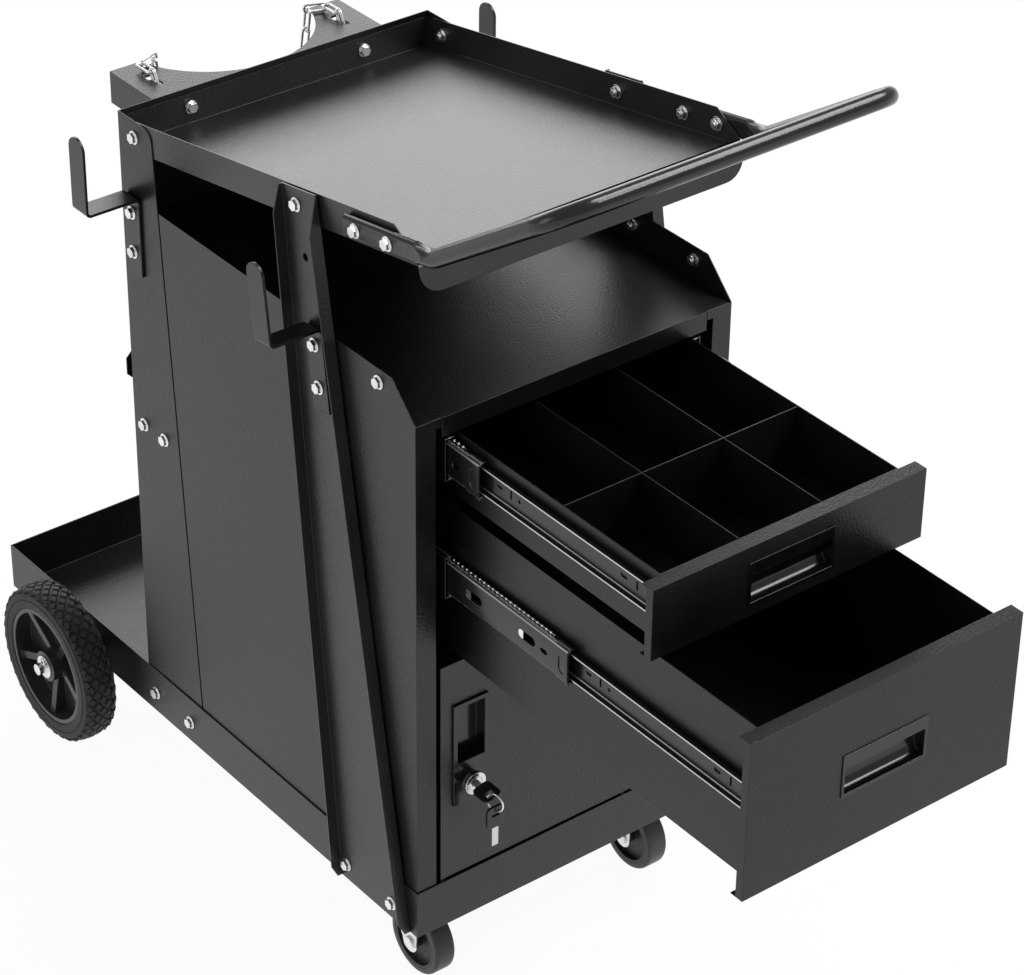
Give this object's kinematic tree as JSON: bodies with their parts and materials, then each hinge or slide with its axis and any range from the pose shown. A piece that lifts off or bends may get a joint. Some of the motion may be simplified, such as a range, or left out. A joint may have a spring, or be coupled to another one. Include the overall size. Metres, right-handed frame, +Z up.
{
  "type": "welding cart",
  "caption": "Wheeled welding cart with a sloping top tray, push handle, cable hooks, two drawers on telescopic slides, a locking door and a chained bottle bracket.",
  "frame": {"origin": "on the floor, under the middle of the cart's bounding box with its drawers standing open as at rest", "axes": "+Z up, -Y towards the front with the drawers and handle, +Y towards the gas bottle's bracket, +X to the right seen from the front"},
  "size_m": [0.486, 1.164, 0.9793],
  "materials": {
    "black_coat": "semi-gloss black powder coat with a fine orange peel",
    "black_gloss": "glossy black powder coat",
    "zinc_plate": "bright zinc plate",
    "black_slides": "thin black electrophoretic coat on the slide members, worn bright along the ball tracks",
    "lock_chrome": "polished nickel",
    "tyre_rubber": "matt dark grey rubber with a diamond tread",
    "rim_plastic": "satin black moulded plastic",
    "caster_rubber": "matt dark grey rubber",
    "caster_plastic": "matt grey moulded plastic",
    "pull_plastic": "glossy black moulded plastic",
    "key_black": "black moulded bow on a steel blade"
  },
  "bodies": {
    "cart_frame": {"base_pan": "black_coat", "back_panel": "black_coat", "back_rail": "black_coat", "left_side_panel": "black_coat", "right_side_panel": "black_coat", "cabinet_top": "black_coat", "door_rail": "black_coat", "slide_brackets": "black_coat", "top_tray": "black_coat", "left_strut": "black_coat", "right_strut": "black_coat", "left_front_hook": "black_coat", "left_rear_hook": "black_coat", "right_front_hook": "black_coat", "right_rear_hook": "black_coat", "handle": "black_gloss", "tank_bracket": "black_coat", "chain_end_links": "zinc_plate", "rear_axle": "zinc_plate", "axle_brackets": "black_coat", "axle_fittings": "zinc_plate", "caster_plates": "zinc_plate", "upper_slide_rails": "black_slides", "lower_slide_rails": "black_slides", "hinge_brackets": "zinc_plate", "frame_bolts": "zinc_plate", "strut_spacers": "zinc_plate"},
    "upper_slides": {"upper_slide_middles": "black_slides"},
    "upper_drawer": {"upper_slide_runners": "black_slides", "upper_drawer_box": "black_coat", "upper_drawer_front": "black_coat", "upper_drawer_dividers": "black_coat", "upper_drawer_pull": "pull_plastic", "upper_drawer_screws": "zinc_plate"},
    "lower_slides": {"lower_slide_middles": "black_slides"},
    "lower_drawer": {"lower_slide_runners": "black_slides", "lower_drawer_box": "black_coat", "lower_drawer_front": "black_coat", "lower_drawer_pull": "pull_plastic", "lower_drawer_screws": "zinc_plate"},
    "door": {"door_panel": "black_coat", "door_handle_plate": "pull_plastic", "lock_barrel": "lock_chrome"},
    "lock": {"lock_plug": "zinc_plate", "door_key": "key_black"},
    "ring": {"key_ring": "zinc_plate"},
    "hanging_key": {"spare_key": "key_black"},
    "bottle_chain": {"tank_chain": "zinc_plate"},
    "left_wheel": {"left_tyre": "tyre_rubber", "left_rim": "rim_plastic"},
    "right_wheel": {"right_tyre": "tyre_rubber", "right_rim": "rim_plastic"},
    "left_caster": {"left_caster_fork": "zinc_plate", "left_caster_axle": "zinc_plate"},
    "left_caster_wheel": {"left_caster_tread": "caster_rubber", "left_caster_core": "caster_plastic"},
    "right_caster": {"right_caster_fork": "zinc_plate", "right_caster_axle": "zinc_plate"},
    "right_caster_wheel": {"right_caster_tread": "caster_rubber", "right_caster_core": "caster_plastic"}
  },
  "joints": [
    {"name": "upper_slide_travel", "type": "slide", "parent": "cart_frame", "child": "upper_slides", "axis": [0, -1, 0], "range_m": [-0.0455, 0.1585]},
    {"name": "upper_drawer_travel", "type": "slide", "parent": "upper_slides", "child": "upper_drawer", "axis": [0, -1, 0], "range_m": [-0.246, 0]},
    {"name": "lower_slide_travel", "type": "slide", "parent": "cart_frame", "child": "lower_slides", "axis": [0, -1, 0], "range_m": [-0.1737, 0.0303]},
    {"name": "lower_drawer_travel", "type": "slide", "parent": "lower_slides", "child": "lower_drawer", "axis": [0, -1, 0], "range_m": [-0.246, 0]},
    {"name": "door_swing", "type": "hinge", "parent": "cart_frame", "child": "door", "pos_m": [0.151, -0.1561, 0.27825], "axis": [0, 0, 1], "range_deg": [0, 110]},
    {"name": "lock_turn", "type": "hinge", "parent": "door", "child": "lock", "pos_m": [-0.11725, -0.1626, 0.256], "axis": [0, 1, 0], "range_deg": [0, 90]},
    {"name": "ring_swing", "type": "hinge", "parent": "lock", "child": "ring", "pos_m": [-0.11625, -0.1946, 0.2598], "axis": [0, 1, 0], "range_deg": [-8, 8]},
    {"name": "hanging_key_swing", "type": "hinge", "parent": "ring", "child": "hanging_key", "pos_m": [-0.11625, -0.1946, 0.2408], "axis": [1, 0, 0], "range_deg": [-8, 8]},
    {"name": "bottle_chain_swing", "type": "hinge", "parent": "cart_frame", "child": "bottle_chain", "pos_m": [0, 0.38567, 0.788], "axis": [1, 0, 0], "range_deg": [-12, 12]},
    {"name": "left_wheel_spin", "type": "hinge", "parent": "cart_frame", "child": "left_wheel", "pos_m": [-0.2125, 0.4414, 0.089], "axis": [1, 0, 0], "continuous": true},
    {"name": "right_wheel_spin", "type": "hinge", "parent": "cart_frame", "child": "right_wheel", "pos_m": [0.2125, 0.4414, 0.089], "axis": [1, 0, 0], "continuous": true},
    {"name": "left_caster_swivel", "type": "hinge", "parent": "cart_frame", "child": "left_caster", "pos_m": [-0.1355, -0.0786, 0.088], "axis": [0, 0, 1], "continuous": true},
    {"name": "left_caster_spin", "type": "hinge", "parent": "left_caster", "child": "left_caster_wheel", "pos_m": [-0.1355, -0.1066, 0.038], "axis": [1, 0, 0], "continuous": true},
    {"name": "right_caster_swivel", "type": "hinge", "parent": "cart_frame", "child": "right_caster", "pos_m": [0.1355, -0.0786, 0.088], "axis": [0, 0, 1], "continuous": true},
    {"name": "right_caster_spin", "type": "hinge", "parent": "right_caster", "child": "right_caster_wheel", "pos_m": [0.1355, -0.1066, 0.038], "axis": [1, 0, 0], "continuous": true}
  ]
}
